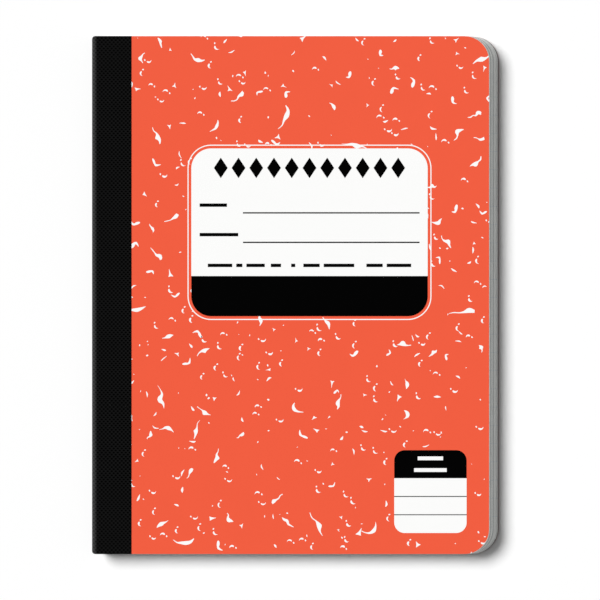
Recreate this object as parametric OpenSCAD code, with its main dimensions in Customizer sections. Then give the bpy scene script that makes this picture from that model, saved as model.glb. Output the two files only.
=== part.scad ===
// Sewn composition notebook, closed and lying on its back cover.
// The origin is the middle of the underside. +X runs to the fore edge, +Y to the head, +Z up.
// The leaves and the cover board are folded together and sewn through the middle of the spine,
// and a strip of cloth tape is glued over it. The covers turn on the spine's two long edges, so
// the board and the cloth each have a front, a middle and a back. Lengths are in millimetres.

/* [Book] */
// Width from the spine to the fore edge
book_w = 190.5; // [160:0.5:230]
// Height from the tail to the head
book_h = 247.65; // [210:0.05:300]
// Radius of the two corners at the fore edge
corner_r = 12; // [4:0.5:16]
// Radius of the two small corners at the spine
heel_r = 2.5; // [0.5:0.25:3]

/* [Pages] */
// Number of leaves
leaf_count = 100; // [80:10:160]
// Thickness of one leaf with the air that lies above it
leaf_t = 0.084; // [0.07:0.002:0.11]

/* [Covers] */
// Thickness of the cover board
board_t = 0.6; // [0.55:0.05:1]
// Outer radius of the two long edges of the spine
spine_r = 2; // [1.5:0.25:2.25]
// How much rounder the folded leaves are there than the inside of the board
leaf_slack = 0.35; // [0.1:0.05:1]
// Room between the folded leaves and the board behind them
fold_gap = 0.3; // [0.2:0.05:0.6]
// Gap in the board and in the cloth along each line on which a cover turns
crease_gap = 0.1; // [0.05:0.05:0.2]

/* [Spine tape] */
// Thickness of the cloth
tape_t = 0.25; // [0.15:0.05:0.4]
// Width of cloth that shows on each cover
tape_w = 19.5; // [12:0.5:30]

/* [Stitching] */
// Diameter of the thread
thread_d = 0.4; // [0.3:0.05:0.45]
// Room round the thread in its holes and grooves
thread_gap = 0.05; // [0.03:0.01:0.07]
// Length of one stitch
stitch = 9; // [6:0.5:14]
// Distance from the head and the tail to the nearest stitch hole
stitch_inset = 12; // [6:1:20]

/* [Label] */
// Width of the label's panel
label_w = 113; // [90:0.5:120]
// Height of the label's panel
label_h = 80.2; // [76:0.1:100]
// Height of the label's middle above the middle of the cover
label_rise = 30; // [0:0.1:40]
// How far the label lies from the middle of the bare cover, towards the fore edge
label_shift = -0.4; // [-4:0.1:4]
// Radius of the panel's corners
label_r = 9.5; // [4:0.5:12]
// Height of the black band at the panel's foot
band_h = 19.2; // [12:0.1:24]
// Width of the fine line round the panel
border_line = 0.5; // [0.3:0.1:1.5]
// Strip of cover that shows between the panel and that line
border_gap = 1.3; // [0.6:0.1:2]
// Distance from the panel's top to the middle of its row of lozenges
ornament_drop = 9.3; // [7:0.1:12]
// Width of one lozenge
lozenge_w = 6.6; // [4:0.1:8]
// Height of one lozenge
lozenge_h = 9.8; // [5:0.1:12]
// Number of lozenges
lozenge_count = 11; // [7:2:13]
// Distance from the panel's sides to the row of lozenges
ornament_indent = 10.8; // [8:0.1:14]
// Distance from the panel's top to the first writing line
line_drop = 30.8; // [26:0.1:34]
// Distance between the two writing lines
line_pitch = 14.1; // [10:0.1:16]
// Distance from the panel's left side to the writing lines
line_indent = 24.7; // [20:0.1:32]
// Distance from the writing lines to the panel's right side
line_margin = 3.9; // [2:0.1:10]
// Thickness of the writing lines
line_t = 0.65; // [0.3:0.05:0.8]
// Height of the small bars that stand for captions
caption_h = 1.6; // [1:0.1:3]
// Distance from the panel's left side to the captions
caption_indent = 4; // [3:0.1:8]
// Height of a caption's foot above its writing line
caption_rise = 2.9; // [1:0.1:4]
// Height of the row of fine bars above the black band
footing_rise = 5.1; // [3:0.1:7]
// Height of the fine bars
footing_h = 1.6; // [1:0.1:3]
// Distance from the panel's sides to the row of fine bars
footing_indent = 7.9; // [4:0.1:14]

/* [Ruling tag] */
// Width of the tag
tag_w = 34.6; // [25:0.1:45]
// Height of the tag's black head
tag_head_h = 13.4; // [10:0.1:18]
// Height of the two bars in the tag's head
tag_caption_h = 1.8; // [1.5:0.1:3.5]
// Distance between the middles of those bars
tag_caption_pitch = 5.6; // [4:0.1:6]
// Distance between ruled lines, on the tag and on the leaves
ruling_pitch = 8.73; // [6:0.01:10]
// Thickness of the tag's ruled lines
ruling_t = 0.45; // [0.3:0.05:0.8]
// Number of ruled rows on the tag
tag_rows = 3; // [2:1:4]
// Radius of the tag's corners
tag_r = 5; // [2:0.5:7]
// Distance from the tag to the fore edge
tag_inset_x = 10.8; // [6:0.1:16]
// Distance from the tag to the tail
tag_inset_y = 10.1; // [6:0.1:16]

/* [Marbling] */
// Number of flecks scattered over one cover, before those under the label are left out
fleck_count = 310; // [150:10:400]
// Reach of the largest fleck from its own middle
fleck_reach = 4.2; // [3:0.1:5]
// Bare strip that flecks leave at the board's edges and round the print
fleck_gap = 0.2; // [0.1:0.1:2]
// Thickness of a printed field
ink_t = 0.04; // [0.02:0.01:0.08]

/* [Hidden] */
$fn = 64;

COVER = [0.95, 0.37, 0.25];
CLOTH = [0.05, 0.05, 0.05];
PAPER = [0.93, 0.92, 0.89];
WHITE = [1, 1, 1];
BLACK = [0.02, 0.02, 0.02];
GREY = [0.45, 0.45, 0.45];

block_t = leaf_count * leaf_t;
book_t = block_t + 2 * (board_t + tape_t);
middle_z = book_t / 2;
// Height of the front cover's fold line. The back cover's is as far above the underside.
hinge_z = book_t - spine_r;
// Faces of the leaves, measured from the tape's outer faces
block_inset = tape_t + board_t;
block_x = block_inset + fold_gap;
face_z = book_t - tape_t;

leaf_r = spine_r - block_inset + leaf_slack;

thread_r = thread_d / 2;
groove_r = thread_r + thread_gap;
// A leg of thread is a little thinner than a run, because the two runs lock inside its hole.
leg_r = 0.8 * thread_r;
// The outer run lies in a groove under the cloth and the inner run in the fold of the middle sheet.
outer_run_x = tape_t + groove_r;
inner_run_x = block_x + block_t / 2;
stitch_span = book_h - 2 * stitch_inset;
stitch_count = floor(stitch_span / stitch);

board_left = tape_w - book_w / 2;
label_x = (board_left + book_w / 2) / 2 + label_shift;
label_left = label_x - label_w / 2;
label_top = label_rise + label_h / 2;
label_foot = label_rise - label_h / 2;
border_w = label_w + 2 * (border_gap + border_line);
border_h = label_h + 2 * (border_gap + border_line);
lozenge_pitch = (label_w - 2 * ornament_indent - lozenge_w) / (lozenge_count - 1);
caption_room = line_indent - caption_indent;
footing_w = label_w - 2 * footing_indent;
tag_h = tag_head_h + tag_rows * ruling_pitch;
tag_x = book_w / 2 - tag_inset_x - tag_w / 2;
tag_y = tag_inset_y + tag_h / 2 - book_h / 2;
fleck_margin = fleck_reach + fleck_gap;

// Lengths of the caption bars as shares of their room, top line first
CAPTIONS = [0.63, 0.89];
// Start and length of each fine bar, in hundredths of its row
FOOTING = [[0, 12], [14, 3], [19, 9], [31, 5], [41, 2], [47, 8], [57, 15], [78, 8], [88, 12]];
// Lengths of the bars in the tag's head as shares of its width, top bar first
TAG_CAPTIONS = [0.35, 0.45];

// Outlines of the marbling's flecks, each a list of loops that reach this far from its middle
outline_reach = 2.3;
TADPOLE = [
    [[-1.3, -0.8], [-1.25, 0.1], [-0.4, 0.7], [0.45, 0.6], [-0.35, 0.1]],
    [[0.8, 0.55], [1.2, 0.75], [1.35, 0.1]]
];
SLIVER = [[[-1.6, 0.15], [-0.2, 0.5], [1.5, -0.3], [0, -0.15]]];
SPOT = [[[-0.6, 0], [0, 0.4], [0.6, 0.05], [0.05, -0.4]]];
SPIKE = [[[-1, -0.7], [-0.05, 0.1], [0.5, 1.1], [1, -0.5]]];
COMMA = [[[-1.2, -1.9], [-0.2, -2.1], [0.6, -0.9], [0.9, 1.9], [0.1, -0.3]]];
CLUB = [[[-2, 1.1], [-0.9, 0.9], [1.7, -1.5], [0.2, -0.9], [-0.5, -0.1], [-1.6, 0.2]]];
FLECKS = [TADPOLE, SPOT, SLIVER, TADPOLE, COMMA, SPOT, TADPOLE, SLIVER, SPIKE, TADPOLE, SPOT, CLUB];

// The fractional part of a number
function part_of_one(v) = v - floor(v);
// Two irrational steps that spread points evenly, without rows
STEP_X = 0.7548776662;
STEP_Y = 0.5698402910;
STEP_TURN = 137.508;
STEP_SIZE = 0.3819660113;

// Middle of fleck i on a cover, measured from the middle of the cover
function fleck_at(i) = [
    board_left + fleck_margin + part_of_one(i * STEP_X) * (book_w / 2 - board_left - 2 * fleck_margin),
    (part_of_one(i * STEP_Y) - 0.5) * (book_h - 2 * fleck_margin)
];
function fleck_scale(i) = fleck_reach / outline_reach * (0.65 + 0.35 * part_of_one(i * STEP_SIZE));
// How far point p lies outside a box of that size round c, on its worse axis
function outside(p, c, size) = max(abs(p[0] - c[0]) - size[0] / 2, abs(p[1] - c[1]) - size[1] / 2);
// A fleck in a rounded corner has to lie inside its arc.
function in_corner(p) =
    let (over = [p[0] - (book_w / 2 - corner_r), abs(p[1]) - (book_h / 2 - corner_r)])
    over[0] <= 0 || over[1] <= 0 || norm(over) <= corner_r - fleck_margin;
function clear_of_print(p) =
    outside(p, [label_x, label_rise], [border_w, border_h]) > fleck_margin
    && outside(p, [tag_x, tag_y], [tag_w, tag_h]) > fleck_margin;

// A rectangle with round corners, about the origin
module rounded_field(w, h, r) {
    square([w - 2 * r, h], center = true);
    square([w, h - 2 * r], center = true);
    for (x = [-1, 1], y = [-1, 1])
        translate([x * (w / 2 - r), y * (h / 2 - r)]) circle(r);
}

// The book seen from above, with its spine at x = 0
module book_outline() {
    translate([heel_r, -book_h / 2]) square([book_w - corner_r - heel_r, book_h]);
    translate([0, heel_r - book_h / 2]) square([heel_r, book_h - 2 * heel_r]);
    translate([book_w - corner_r, corner_r - book_h / 2]) square([corner_r, book_h - 2 * corner_r]);
    for (y = [-1, 1]) {
        translate([heel_r, y * (book_h / 2 - heel_r)]) circle(heel_r);
        translate([book_w - corner_r, y * (book_h / 2 - corner_r)]) circle(corner_r);
    }
}

// Section of a sheet of thickness t that lies under a skin of thickness inset. It starts at the
// front cover's fold line, turns the spine's edge in a quarter of a ring and runs on to reach.
module folded_sheet(inset, t, reach) {
    intersection() {
        translate([spine_r, hinge_z])
            difference() {
                circle(spine_r - inset);
                circle(spine_r - inset - t);
            }
        translate([0, hinge_z + crease_gap / 2]) square(spine_r);
    }
    translate([spine_r, book_t - inset - t]) square([reach - spine_r, t]);
}

// Section of the strip of that sheet that stands behind the leaves, between the two fold lines
module upright_sheet(inset, t) {
    translate([inset, spine_r + crease_gap / 2]) square([t, hinge_z - spine_r - crease_gap]);
}

// A section drawn in x and z, run from the tail to the head and trimmed to the book's outline
module trimmed_run() {
    translate([-book_w / 2, 0, 0])
        intersection() {
            translate([0, book_h / 2, 0]) rotate([90, 0, 0]) linear_extrude(book_h) children();
            linear_extrude(book_t) book_outline();
        }
}

module turned_under() {
    translate([0, 0, book_t]) mirror([0, 0, 1]) children();
}

module cover_board() {
    trimmed_run() folded_sheet(tape_t, board_t, book_w);
}

module cloth_tape() {
    trimmed_run() folded_sheet(0, tape_t, tape_w);
}

// Section of the folded leaves, rounded where they turn at the spine
module block_section() {
    translate([block_x + leaf_r, block_inset]) square([book_w - block_x - leaf_r, block_t]);
    translate([block_x, block_inset + leaf_r]) square([leaf_r, block_t - 2 * leaf_r]);
    for (z = [block_inset + leaf_r, block_inset + block_t - leaf_r])
        translate([block_x + leaf_r, z]) circle(leaf_r);
}

// A leg of thread, or its hole, along X from the tape's side
module along_x(r, from, to) {
    translate([from, 0, middle_z]) rotate([0, 90, 0]) cylinder(r = r, h = to - from);
}

// A run of thread, or its groove, along Y
module along_y(r, x) {
    run = stitch_count * stitch;
    translate([x, run / 2, middle_z]) rotate([90, 0, 0]) cylinder(r = r, h = run);
}

module at_stitches() {
    for (i = [0 : stitch_count])
        translate([0, (i - stitch_count / 2) * stitch, 0]) children();
}

module stitch_holes(run_x) {
    translate([-book_w / 2, 0, 0]) {
        along_y(groove_r, run_x);
        at_stitches() along_x(leg_r + thread_gap, outer_run_x, inner_run_x);
    }
}

// The groove stays open on the cloth's side.
module spine_board() {
    groove_l = stitch_count * stitch + 2 * groove_r;
    color(COVER)
        difference() {
            trimmed_run() upright_sheet(tape_t, board_t);
            stitch_holes(outer_run_x);
            translate([-book_w / 2, -groove_l / 2, middle_z - groove_r])
                cube([outer_run_x, groove_l, 2 * groove_r]);
        }
}

module page_block() {
    color(PAPER)
        difference() {
            trimmed_run() block_section();
            stitch_holes(inner_run_x);
        }
}

module binding_thread() {
    color(WHITE)
        translate([-book_w / 2, 0, 0]) {
            along_y(thread_r, outer_run_x);
            along_y(thread_r, inner_run_x);
            at_stitches() along_x(leg_r, outer_run_x, inner_run_x);
        }
}

// A printed field on the front cover. Level 1 lies on the board and level 2 on another field.
module printed(level = 1) {
    translate([0, 0, face_z + (level - 1) * ink_t]) linear_extrude(ink_t) children();
}

module fleck(i) {
    for (loop = FLECKS[i % len(FLECKS)])
        rotate(i * STEP_TURN) scale(fleck_scale(i)) polygon(loop);
}

module marbling(on_front) {
    for (i = [1 : fleck_count])
        if (in_corner(fleck_at(i)) && (!on_front || clear_of_print(fleck_at(i))))
            translate(fleck_at(i)) fleck(i);
}

module label_border() {
    translate([label_x, label_rise])
        difference() {
            rounded_field(border_w, border_h, label_r + border_gap + border_line);
            rounded_field(label_w + 2 * border_gap, label_h + 2 * border_gap, label_r + border_gap);
        }
}

// The part of the label's rounded panel from one height to another above its foot
module panel_slice(from, to) {
    translate([label_x, label_rise])
        intersection() {
            rounded_field(label_w, label_h, label_r);
            translate([-label_w / 2, from - label_h / 2]) square([label_w, to - from]);
        }
}

module lozenge() {
    polygon([[-lozenge_w / 2, 0], [0, lozenge_h / 2], [lozenge_w / 2, 0], [0, -lozenge_h / 2]]);
}

module label_ornament() {
    for (i = [0 : lozenge_count - 1])
        translate([label_x + (i - (lozenge_count - 1) / 2) * lozenge_pitch, label_top - ornament_drop])
            lozenge();
}

module label_lines() {
    for (i = [0, 1])
        translate([label_left + line_indent, label_top - line_drop - i * line_pitch - line_t / 2])
            square([label_w - line_indent - line_margin, line_t]);
}

module label_captions() {
    for (i = [0, 1])
        translate([label_left + caption_indent, label_top - line_drop - i * line_pitch + caption_rise])
            square([CAPTIONS[i] * caption_room, caption_h]);
    for (bar = FOOTING)
        translate([label_left + footing_indent, label_foot + band_h + footing_rise - footing_h / 2])
            translate([bar[0] / 100 * footing_w, 0]) square([bar[1] / 100 * footing_w, footing_h]);
}

module tag_slice(from, to) {
    translate([tag_x, tag_y])
        intersection() {
            rounded_field(tag_w, tag_h, tag_r);
            translate([-tag_w / 2, from - tag_h / 2]) square([tag_w, to - from]);
        }
}

module tag_lines() {
    for (i = [1 : tag_rows - 1])
        translate([tag_x - tag_w / 2, tag_y - tag_h / 2 + i * ruling_pitch - ruling_t / 2])
            square([tag_w, ruling_t]);
}

module tag_captions() {
    for (i = [0, 1])
        translate([tag_x, tag_y + (tag_h - tag_head_h) / 2 + (0.5 - i) * tag_caption_pitch])
            square([TAG_CAPTIONS[i] * tag_w, tag_caption_h], center = true);
}

color(COVER) turned_under() cover_board();  // back_cover
color(COVER) cover_board();  // front_cover
spine_board();
page_block();
binding_thread();
color(CLOTH) turned_under() cloth_tape();  // spine_tape_back
color(CLOTH) trimmed_run() upright_sheet(0, tape_t);  // spine_tape_middle
color(CLOTH) cloth_tape();  // spine_tape_front
color(WHITE) turned_under() printed() marbling(false);  // marbling_back
color(WHITE) printed() marbling(true);  // marbling_front
color(WHITE) printed() label_border();
color(WHITE) printed() panel_slice(band_h, label_h);  // label_panel
color(BLACK) printed() panel_slice(0, band_h);  // label_band
color(BLACK) printed(2) label_ornament();
color(GREY) printed(2) label_lines();
color(BLACK) printed(2) label_captions();
color(WHITE) printed() tag_slice(0, tag_h - tag_head_h);  // tag_panel
color(BLACK) printed() tag_slice(tag_h - tag_head_h, tag_h);  // tag_head
color(GREY) printed(2) tag_lines();
color(WHITE) printed(2) tag_captions();
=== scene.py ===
"""Looks of a one-subject composition notebook: marbled boards, a cloth spine, a label and sewn leaves."""

import logging
import math
import random
from dataclasses import dataclass
from enum import Enum
from typing import Any, Callable

import bmesh
import bpy
from mathutils import Matrix, Vector


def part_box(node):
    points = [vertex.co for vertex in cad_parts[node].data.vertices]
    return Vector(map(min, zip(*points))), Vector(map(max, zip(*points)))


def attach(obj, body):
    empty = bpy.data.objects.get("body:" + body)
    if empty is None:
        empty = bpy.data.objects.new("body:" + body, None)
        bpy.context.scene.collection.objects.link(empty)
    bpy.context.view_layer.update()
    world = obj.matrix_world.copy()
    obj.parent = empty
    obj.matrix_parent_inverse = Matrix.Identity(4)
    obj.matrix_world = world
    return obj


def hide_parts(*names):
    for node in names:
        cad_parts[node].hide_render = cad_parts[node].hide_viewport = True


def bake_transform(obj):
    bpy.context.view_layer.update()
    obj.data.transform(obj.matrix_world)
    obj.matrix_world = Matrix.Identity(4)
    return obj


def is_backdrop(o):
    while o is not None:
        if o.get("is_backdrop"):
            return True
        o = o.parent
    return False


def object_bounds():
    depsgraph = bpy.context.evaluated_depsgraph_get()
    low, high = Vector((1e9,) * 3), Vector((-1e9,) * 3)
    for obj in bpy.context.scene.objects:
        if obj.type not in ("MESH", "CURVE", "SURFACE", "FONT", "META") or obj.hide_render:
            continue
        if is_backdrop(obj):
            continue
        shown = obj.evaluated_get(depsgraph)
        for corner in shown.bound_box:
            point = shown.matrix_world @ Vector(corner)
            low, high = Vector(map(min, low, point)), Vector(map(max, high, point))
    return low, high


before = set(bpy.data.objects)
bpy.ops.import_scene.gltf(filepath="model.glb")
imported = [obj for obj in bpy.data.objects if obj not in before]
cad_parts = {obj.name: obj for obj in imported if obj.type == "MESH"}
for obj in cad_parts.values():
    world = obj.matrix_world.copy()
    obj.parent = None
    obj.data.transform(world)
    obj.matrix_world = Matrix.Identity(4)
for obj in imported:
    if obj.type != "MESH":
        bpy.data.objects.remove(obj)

log = logging.getLogger("notebook")

MM = 0.001
CM2 = 1e-4
# Points that are nearer to each other than this are one point.
TOUCH = 1e-7
# The marbling starts this far under the edge of the cloth.
UNDER_CLOTH = 3 * MM
Point = tuple[float, float]
Box = tuple[float, float, float, float]
Colour = tuple[float, float, float, float]
Socket = bpy.types.NodeSocket


def ink(red: int, green: int, blue: int) -> Colour:
    """Turn a colour as seen on a screen into the linear colour that shaders take.

    Args:
        red: Red from 0 to 255.
        green: Green from 0 to 255.
        blue: Blue from 0 to 255.

    Returns:
        The linear colour with full alpha.
    """
    shares = [part / 255 for part in (red, green, blue)]
    low = [part / 12.92 if part <= 0.04045 else ((part + 0.055) / 1.055) ** 2.4 for part in shares]
    return (low[0], low[1], low[2], 1.0)


def flat_box(*nodes: str) -> Box:
    """Measure several CAD nodes together, seen from above.

    Args:
        nodes: Names of the nodes.

    Returns:
        Their lowest and highest x, then their lowest and highest y.
    """
    lows, highs = zip(*(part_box(node) for node in nodes))
    return min(p.x for p in lows), max(p.x for p in highs), min(p.y for p in lows), max(p.y for p in highs)


def within(x: float, y: float, box: Box, rim: float) -> bool:
    """Tell whether a point lies in a box that has grown by a rim on every side."""
    x0, x1, y0, y1 = box
    return x0 - rim < x < x1 + rim and y0 - rim < y < y1 + rim


def settle(bm: bmesh.types.BMesh, name: str) -> bpy.types.Mesh:
    """Turn finished mesh work into a mesh.

    Args:
        bm: The work, which is freed.
        name: Name of the mesh.

    Returns:
        The mesh.
    """
    mesh = bpy.data.meshes.new(name)
    bm.to_mesh(mesh)
    bm.free()
    return mesh


def stand(name: str, data: Any) -> bpy.types.Object:
    """Put an object into the scene.

    Args:
        name: Name of the object.
        data: Its mesh, light or camera, or None.

    Returns:
        The object.
    """
    made = bpy.data.objects.new(name, data)
    bpy.context.scene.collection.objects.link(made)
    return made


# Node work


@dataclass
class NodeBench:
    """Places nodes in one tree and joins them."""

    tree: bpy.types.NodeTree

    def put(self, kind: str, sockets: dict[Any, Any] | None = None, **settings: Any) -> bpy.types.Node:
        """Add a node, set its properties and fill its inputs.

        Args:
            kind: The node's class name without the leading "ShaderNode".
            sockets: Input name or number, with a value or the output to link from.
            settings: Properties of the node.

        Returns:
            The new node.
        """
        node = self.tree.nodes.new("ShaderNode" + kind)
        for name, value in settings.items():
            setattr(node, name, value)
        for key, value in (sockets or {}).items():
            if isinstance(value, Socket):
                self.tree.links.new(value, node.inputs[key])
            else:
                node.inputs[key].default_value = value
        return node

    def sum(self, operation: str, *values: Any) -> Socket:
        """Work out one operation of the Math node on up to three values."""
        return self.put("Math", dict(enumerate(values)), operation=operation).outputs[0]

    def vector(self, operation: str, *values: Any) -> Socket:
        """Work out one operation of the Vector Math node that gives a vector."""
        return self.put("VectorMath", dict(enumerate(values)), operation=operation).outputs[0]

    def blend(self, share: Any, first: Any, second: Any, mode: str = "MIX") -> Socket:
        """Mix two colours by a share from 0 to 1."""
        node = self.put("Mix", {0: share, 6: first, 7: second}, data_type="RGBA", blend_type=mode)
        return node.outputs[2]

    def spread(self, value: Any, low: float, high: float, start: float = 0.0, end: float = 1.0) -> Socket:
        """Carry a value from the range start..end over to low..high."""
        sockets = {"Value": value, "From Min": start, "From Max": end, "To Min": low, "To Max": high}
        return self.put("MapRange", sockets).outputs[0]

    def ramp(self, value: Any, start: float, end: float) -> Socket:
        """Rise smoothly from 0 at start to 1 at end; start may lie above end."""
        sockets = {"Value": value, "From Min": start, "From Max": end}
        return self.put("MapRange", sockets, interpolation_type="SMOOTHSTEP").outputs[0]

    def cloud(self, place: Any, detail: float, twist: float) -> Socket:
        """Give a noise from 0 to 1 at a place that is measured in the noise's own size."""
        sockets = {"Vector": place, "Scale": 1.0, "Detail": detail, "Distortion": twist}
        return self.put("TexNoise", sockets).outputs["Fac"]

    def layers(self, level: Any, thickness: float, detail: float) -> Socket:
        """Give a noise from 0 to 1 that changes along one number only, at a thickness in millimetres."""
        sockets = {"W": level, "Scale": 1 / (thickness * MM), "Detail": detail}
        return self.put("TexNoise", sockets, noise_dimensions="1D").outputs["Fac"]

    def parts(self, vector: Any) -> Any:
        """Split a vector into x, y and z."""
        return self.put("SeparateXYZ", {0: vector}).outputs

    def in_mm(self, place: Any) -> Socket:
        """Turn a place in metres into millimetres."""
        return self.put("VectorMath", {0: place, 3: 1 / MM}, operation="SCALE").outputs[0]

    def group(self, effect: "Effect", sockets: dict[str, Any]) -> bpy.types.Node:
        """Place one of the shared effects with its own values."""
        return self.put("Group", sockets, node_tree=effect.tree())


def clean_bench(owner: bpy.types.Material | bpy.types.World) -> NodeBench:
    """Switch on the nodes of a material or a world and clear them.

    Args:
        owner: The material or world.

    Returns:
        A bench for its empty tree.
    """
    owner.use_nodes = True
    owner.node_tree.nodes.clear()
    return NodeBench(owner.node_tree)


def new_group(name: str, inputs: dict[str, Any], outputs: dict[str, str]) -> tuple[NodeBench, Any, Any]:
    """Start a shader node group with named sockets.

    Args:
        name: Name of the group.
        inputs: Input names, each with its default number, or None for a vector.
        outputs: Output names, each with its socket type.

    Returns:
        The bench, the outputs of the group's input node and the inputs of its output node.
    """
    tree = bpy.data.node_groups.new(name, "ShaderNodeTree")
    for title, default in inputs.items():
        kind = "NodeSocketVector" if default is None else "NodeSocketFloat"
        socket = tree.interface.new_socket(title, in_out="INPUT", socket_type=kind)
        if default is not None:
            socket.default_value = default
    for title, kind in outputs.items():
        tree.interface.new_socket(title, in_out="OUTPUT", socket_type=kind)
    bench = NodeBench(tree)
    entry = tree.nodes.new("NodeGroupInput")
    leave = tree.nodes.new("NodeGroupOutput")
    return bench, entry.outputs, leave.inputs


def build_fibre(name: str) -> bpy.types.NodeTree:
    """Make the effect of matted fibres in paper, board and ink: a tone round 1 and a height.

    Args:
        name: Name of the group.

    Returns:
        The group's tree.
    """
    inputs = {"Place": None, "Fibre mm": 0.4, "Cloud mm": 14.0, "Depth": 0.05}
    outputs = {"Tone": "NodeSocketFloat", "Height": "NodeSocketFloat"}
    bench, given, result = new_group(name, inputs, outputs)
    place = bench.in_mm(given["Place"])
    fine = bench.cloud(bench.vector("DIVIDE", place, given["Fibre mm"]), 4.0, 1.6)
    wide = bench.cloud(bench.vector("DIVIDE", place, given["Cloud mm"]), 2.0, 0.4)
    swing = bench.sum("ADD", bench.sum("SUBTRACT", fine, 0.5), bench.sum("SUBTRACT", wide, 0.5))
    bench.tree.links.new(bench.sum("MULTIPLY_ADD", swing, given["Depth"], 1.0), result["Tone"])
    bench.tree.links.new(fine, result["Height"])
    return bench.tree


def build_specks(name: str) -> bpy.types.NodeTree:
    """Make the effect of small scattered specks, such as shives in pulp or lint on cloth.

    Args:
        name: Name of the group.

    Returns:
        The group's tree.
    """
    inputs = {"Place": None, "Spacing mm": 1.5, "Size": 0.12, "Share": 0.3}
    bench, given, result = new_group(name, inputs, {"Mask": "NodeSocketFloat"})
    place = bench.in_mm(given["Place"])
    spaced = bench.vector("DIVIDE", place, given["Spacing mm"])
    cells = bench.put("TexVoronoi", {"Vector": spaced, "Scale": 1.0})
    near = bench.sum("LESS_THAN", cells.outputs["Distance"], given["Size"])
    pick = bench.put("SeparateColor", {0: cells.outputs["Color"]}).outputs[0]
    chosen = bench.sum("LESS_THAN", pick, given["Share"])
    bench.tree.links.new(bench.sum("MULTIPLY", near, chosen), result["Mask"])
    return bench.tree


class Effect(Enum):
    """Effects that several finishes share, each a shader node group that is built once."""

    FIBRE = "matted_fibre"
    SPECKS = "scattered_specks"

    def tree(self) -> bpy.types.NodeTree:
        """Give the effect's group, built the first time that it is asked for.

        Returns:
            The group's tree.
        """
        makers: dict[Effect, Callable[[str], bpy.types.NodeTree]] = {
            Effect.FIBRE: build_fibre,
            Effect.SPECKS: build_specks,
        }
        return bpy.data.node_groups.get(self.value) or makers[self](self.value)


class Mapping(Enum):
    """Where a finish takes its place on a surface from."""

    OBJECT = "Object"
    UNROLLED = "UV"


# Finishes


@dataclass(frozen=True)
class Fibres:
    """The matted fibres under a finish: their place in metres, tone round 1 and height from 0 to 1."""

    bench: NodeBench
    place: Socket
    tone: Socket
    height: Socket

    def toned(self, colour: Any) -> Socket:
        """Let the fibres' tone lighten and darken a colour."""
        grey = self.bench.put("CombineColor", dict.fromkeys(range(3), self.tone)).outputs[0]
        return self.bench.blend(1.0, colour, grey, "MULTIPLY")


@dataclass(frozen=True)
class Finish:
    """A surface of ink, paper, board or cloth, with fibres whose size and relief are in millimetres."""

    name: str
    colour: Colour
    roughness: float
    gloss: float
    fibre: float
    depth: float
    relief: float
    mapping: Mapping = Mapping.OBJECT
    swing: float = 0.05

    def build(self) -> bpy.types.Material:
        """Make the finish's material, or give it if it exists.

        Returns:
            The material.
        """
        known = bpy.data.materials.get(self.name)
        if known is not None:
            return known
        material = bpy.data.materials.new(self.name)
        bench = clean_bench(material)
        place = bench.put("TexCoord").outputs[self.mapping.value]
        sockets = {"Place": place, "Fibre mm": self.fibre, "Depth": self.depth}
        matted = bench.group(Effect.FIBRE, sockets).outputs
        colour, height = self.lay(Fibres(bench, place, matted["Tone"], matted["Height"]))
        rough = bench.spread(matted["Height"], self.roughness - self.swing, self.roughness + self.swing)
        bump = bench.put("Bump", {"Strength": 1.0, "Distance": self.relief * MM, "Height": height})
        sockets = {"Base Color": colour, "Roughness": rough, "Specular IOR Level": self.gloss}
        shader = bench.put("BsdfPrincipled", {**sockets, "Normal": bump.outputs[0]})
        self.season(shader)
        bench.put("OutputMaterial", {"Surface": shader.outputs[0]})
        return material

    def lay(self, fibres: Fibres) -> tuple[Socket, Socket]:
        """Lay the colour and the relief on the fibres."""
        return fibres.toned(self.colour), fibres.height

    def season(self, shader: bpy.types.Node) -> None:
        """Set what is the same all over the surface; a plain finish has nothing more."""


@dataclass(frozen=True)
class PulpEdge(Finish):
    """The cut edge of the board: pulp with darker shives."""

    shive: Colour = ink(96, 86, 74)
    shive_share: float = 0.6

    def lay(self, fibres: Fibres) -> tuple[Socket, Socket]:
        """Lay the pulp's colour with its shives.

        Args:
            fibres: The fibres under the finish.

        Returns:
            The colour and the height.
        """
        bench = fibres.bench
        sockets = {"Place": fibres.place, "Spacing mm": 0.7, "Size": 0.3, "Share": 0.35}
        shives = bench.group(Effect.SPECKS, sockets).outputs["Mask"]
        shown = bench.sum("MULTIPLY", shives, self.shive_share)
        return bench.blend(shown, fibres.toned(self.colour), self.shive), fibres.height


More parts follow.
